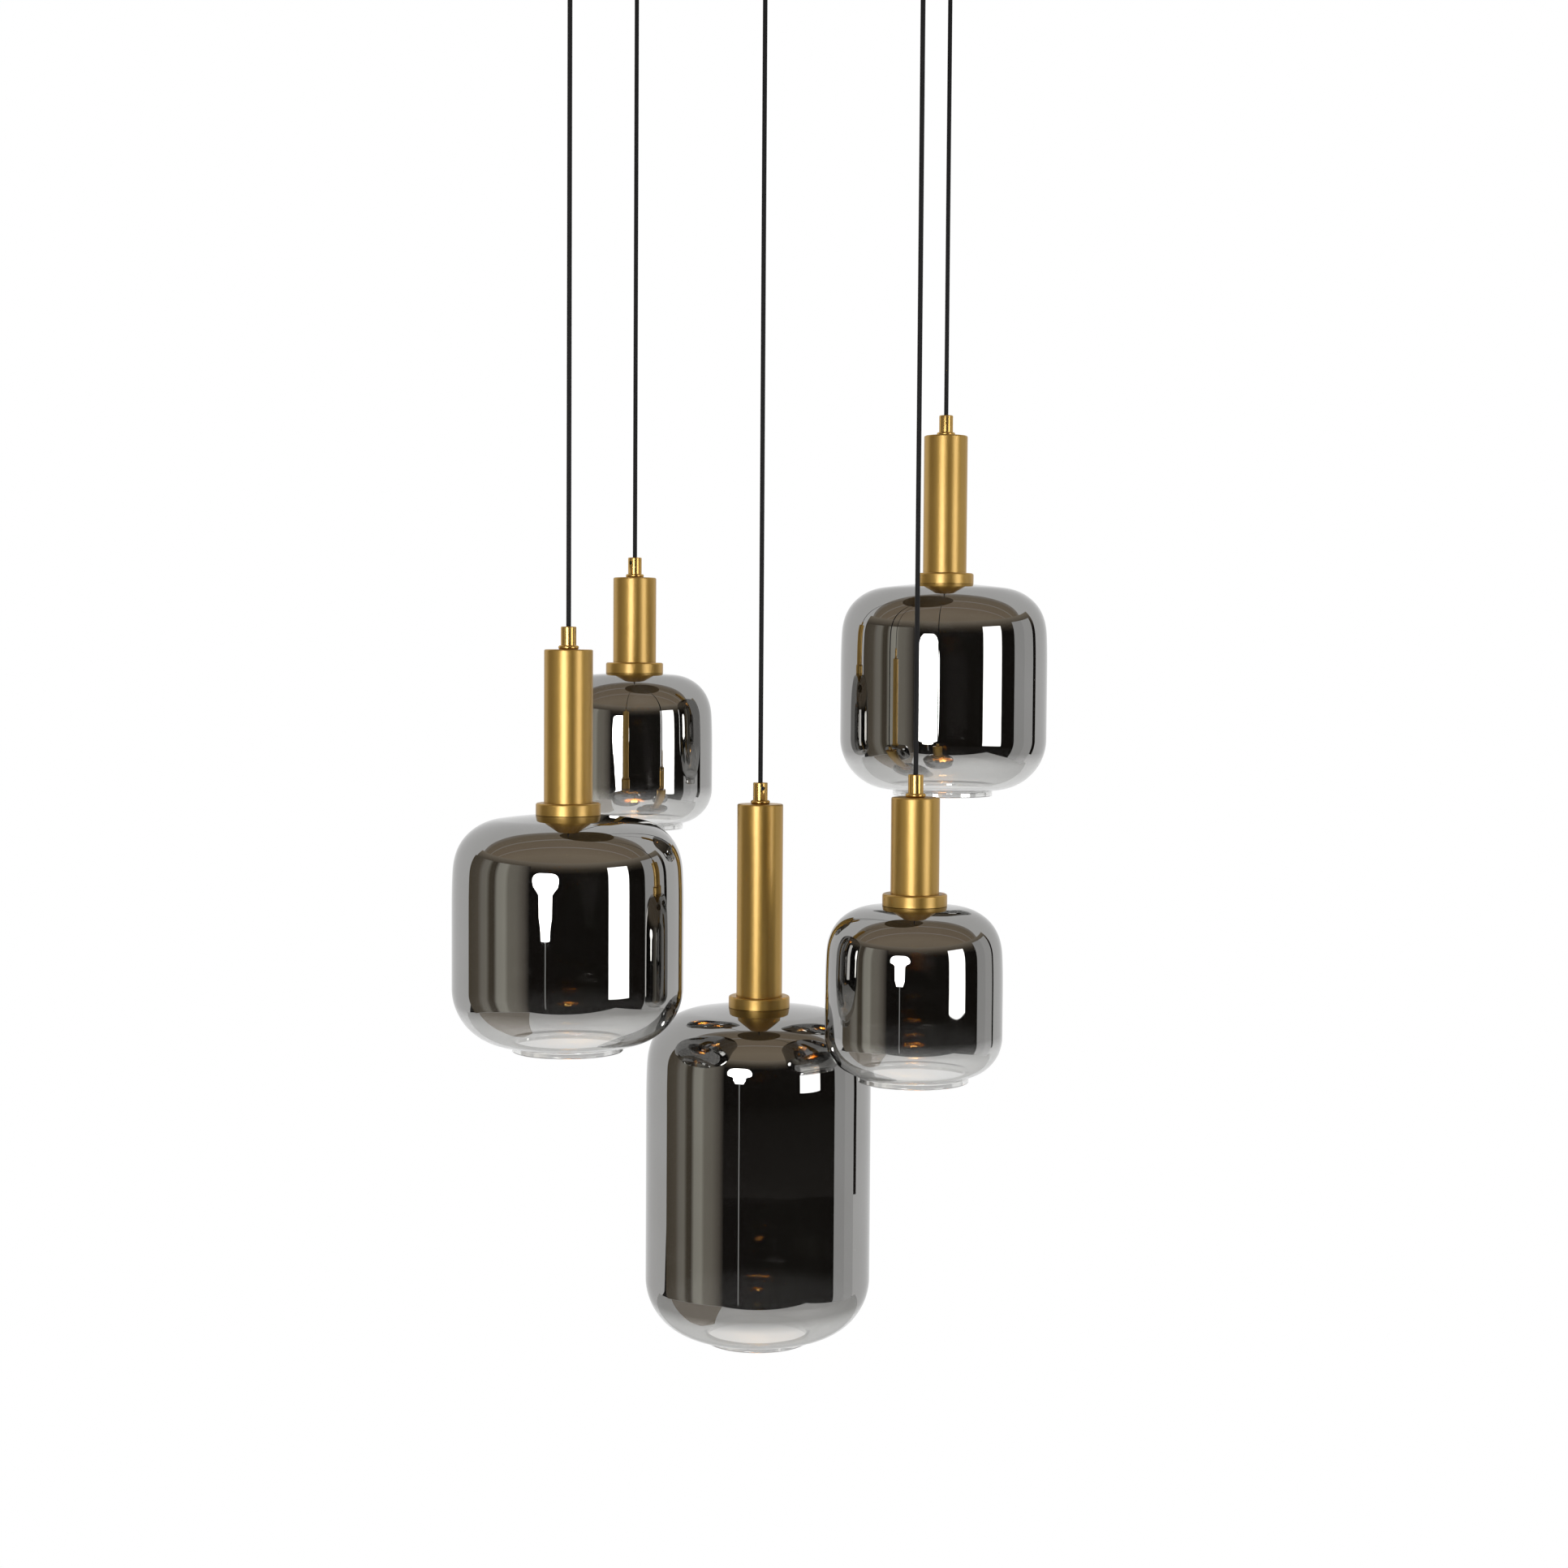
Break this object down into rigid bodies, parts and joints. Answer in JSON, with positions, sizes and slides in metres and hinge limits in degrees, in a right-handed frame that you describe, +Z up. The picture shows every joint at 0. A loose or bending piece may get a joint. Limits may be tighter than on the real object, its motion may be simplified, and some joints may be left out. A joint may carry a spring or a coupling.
{
  "type": "cluster pendant light",
  "caption": "Round brass canopy with black cords, each carrying a brass tube, a collar and a smoked mirror glass jar shade open below.",
  "frame": {"origin": "on the ceiling plane, at the centre of the bracket's bolt circle", "axes": "+Z up, out of the ceiling side of the bracket; -Y towards the viewer; +X to the viewer's right"},
  "size_m": [0.5784, 0.5264, 1.449],
  "materials": {
    "smoked_mirror": "smoked grey half-mirror on glass",
    "satin_brass": "satin, brushed round the axis",
    "polished_brass": "polished",
    "bronzed_brass": "satin",
    "black_cord": "smooth round sheath",
    "zinc_steel": "zinc plated",
    "dark_steel": "blackened",
    "white_ceramic": "glazed ceramic",
    "white_plastic": "moulded",
    "warm_lamp": "warm frosted capsule"
  },
  "bodies": {
    "ceiling": {"ceiling_bracket": "zinc_steel", "canopy": "bronzed_brass", "side_screws": "polished_brass", "canopy_glands": "polished_brass", "gland_nuts": "zinc_steel", "gland_screws": "zinc_steel", "inner_leads": "black_cord", "terminal_block": "white_plastic", "terminal_screws": "polished_brass", "earth_screw": "polished_brass"},
    "drop_front_left": {"cord_front_left": "black_cord"},
    "pendant_front_left": {"cord_grip_front_left": "polished_brass", "grip_screw_front_left": "dark_steel", "tube_front_left": "satin_brass", "stem_front_left": "zinc_steel", "lampholder_front_left": "white_ceramic", "collar_front_left": "satin_brass", "shade_front_left": "smoked_mirror", "shade_ring_front_left": "satin_brass"},
    "bulb_front_left": {"lamp_front_left": "warm_lamp"},
    "drop_front_right": {"cord_front_right": "black_cord"},
    "pendant_front_right": {"cord_grip_front_right": "polished_brass", "grip_screw_front_right": "dark_steel", "tube_front_right": "satin_brass", "stem_front_right": "zinc_steel", "lampholder_front_right": "white_ceramic", "collar_front_right": "satin_brass", "shade_front_right": "smoked_mirror", "shade_ring_front_right": "satin_brass"},
    "bulb_front_right": {"lamp_front_right": "warm_lamp"},
    "drop_back_left": {"cord_back_left": "black_cord"},
    "pendant_back_left": {"cord_grip_back_left": "polished_brass", "grip_screw_back_left": "dark_steel", "tube_back_left": "satin_brass", "stem_back_left": "zinc_steel", "lampholder_back_left": "white_ceramic", "collar_back_left": "satin_brass", "shade_back_left": "smoked_mirror", "shade_ring_back_left": "satin_brass"},
    "bulb_back_left": {"lamp_back_left": "warm_lamp"},
    "drop_back_right": {"cord_back_right": "black_cord"},
    "pendant_back_right": {"cord_grip_back_right": "polished_brass", "grip_screw_back_right": "dark_steel", "tube_back_right": "satin_brass", "stem_back_right": "zinc_steel", "lampholder_back_right": "white_ceramic", "collar_back_right": "satin_brass", "shade_back_right": "smoked_mirror", "shade_ring_back_right": "satin_brass"},
    "bulb_back_right": {"lamp_back_right": "warm_lamp"},
    "drop_centre": {"cord_centre": "black_cord"},
    "pendant_centre": {"cord_grip_centre": "polished_brass", "grip_screw_centre": "dark_steel", "tube_centre": "satin_brass", "stem_centre": "zinc_steel", "lampholder_centre": "white_ceramic", "collar_centre": "satin_brass", "shade_centre": "smoked_mirror", "shade_ring_centre": "satin_brass"},
    "bulb_centre": {"lamp_centre": "warm_lamp"}
  },
  "joints": [
    {"name": "swing_front_left", "type": "hinge", "parent": "ceiling", "child": "drop_front_left", "pos_m": [-0.17619, -0.13815, -0.05], "axis": [-0.7869, -0.617, 0], "range_deg": [-5, 5]},
    {"name": "turn_front_left", "type": "hinge", "parent": "drop_front_left", "child": "pendant_front_left", "pos_m": [-0.17619, -0.13815, -0.921], "axis": [0, 0, 1], "range_deg": [-180, 180]},
    {"name": "lamp_pull_front_left", "type": "slide", "parent": "pendant_front_left", "child": "bulb_front_left", "axis": [0, 0, -1], "range_m": [0, 0.012]},
    {"name": "swing_front_right", "type": "hinge", "parent": "ceiling", "child": "drop_front_right", "pos_m": [0.14458, -0.14307, -0.05], "axis": [0.7108, -0.7034, 0], "range_deg": [-5, 5]},
    {"name": "turn_front_right", "type": "hinge", "parent": "drop_front_right", "child": "pendant_front_right", "pos_m": [0.14458, -0.14307, -1.0025], "axis": [0, 0, 1], "range_deg": [-180, 180]},
    {"name": "lamp_pull_front_right", "type": "slide", "parent": "pendant_front_right", "child": "bulb_front_right", "axis": [0, 0, -1], "range_m": [0, 0.012]},
    {"name": "swing_back_left", "type": "hinge", "parent": "ceiling", "child": "drop_back_left", "pos_m": [-0.13511, 0.18192, -0.05], "axis": [-0.5962, 0.8028, 0], "range_deg": [-5, 5]},
    {"name": "turn_back_left", "type": "hinge", "parent": "drop_back_left", "child": "pendant_back_left", "pos_m": [-0.13511, 0.18192, -0.7915], "axis": [0, 0, 1], "range_deg": [-180, 180]},
    {"name": "lamp_pull_back_left", "type": "slide", "parent": "pendant_back_left", "child": "bulb_back_left", "axis": [0, 0, -1], "range_m": [0, 0.012]},
    {"name": "swing_back_right", "type": "hinge", "parent": "ceiling", "child": "drop_back_right", "pos_m": [0.18818, 0.14702, -0.05], "axis": [0.788, 0.6157, 0], "range_deg": [-5, 5]},
    {"name": "turn_back_right", "type": "hinge", "parent": "drop_back_right", "child": "pendant_back_right", "pos_m": [0.18818, 0.14702, -0.697], "axis": [0, 0, 1], "range_deg": [-180, 180]},
    {"name": "lamp_pull_back_right", "type": "slide", "parent": "pendant_back_right", "child": "bulb_back_right", "axis": [0, 0, -1], "range_m": [0, 0.012]},
    {"name": "swing_centre", "type": "hinge", "parent": "ceiling", "child": "drop_centre", "pos_m": [0, 0, -0.05], "axis": [1, 0, 0], "range_deg": [-1, 5]},
    {"name": "turn_centre", "type": "hinge", "parent": "drop_centre", "child": "pendant_centre", "pos_m": [0, 0, -1.118], "axis": [0, 0, 1], "range_deg": [-180, 180]},
    {"name": "lamp_pull_centre", "type": "slide", "parent": "pendant_centre", "child": "bulb_centre", "axis": [0, 0, -1], "range_m": [0, 0.012]}
  ]
}
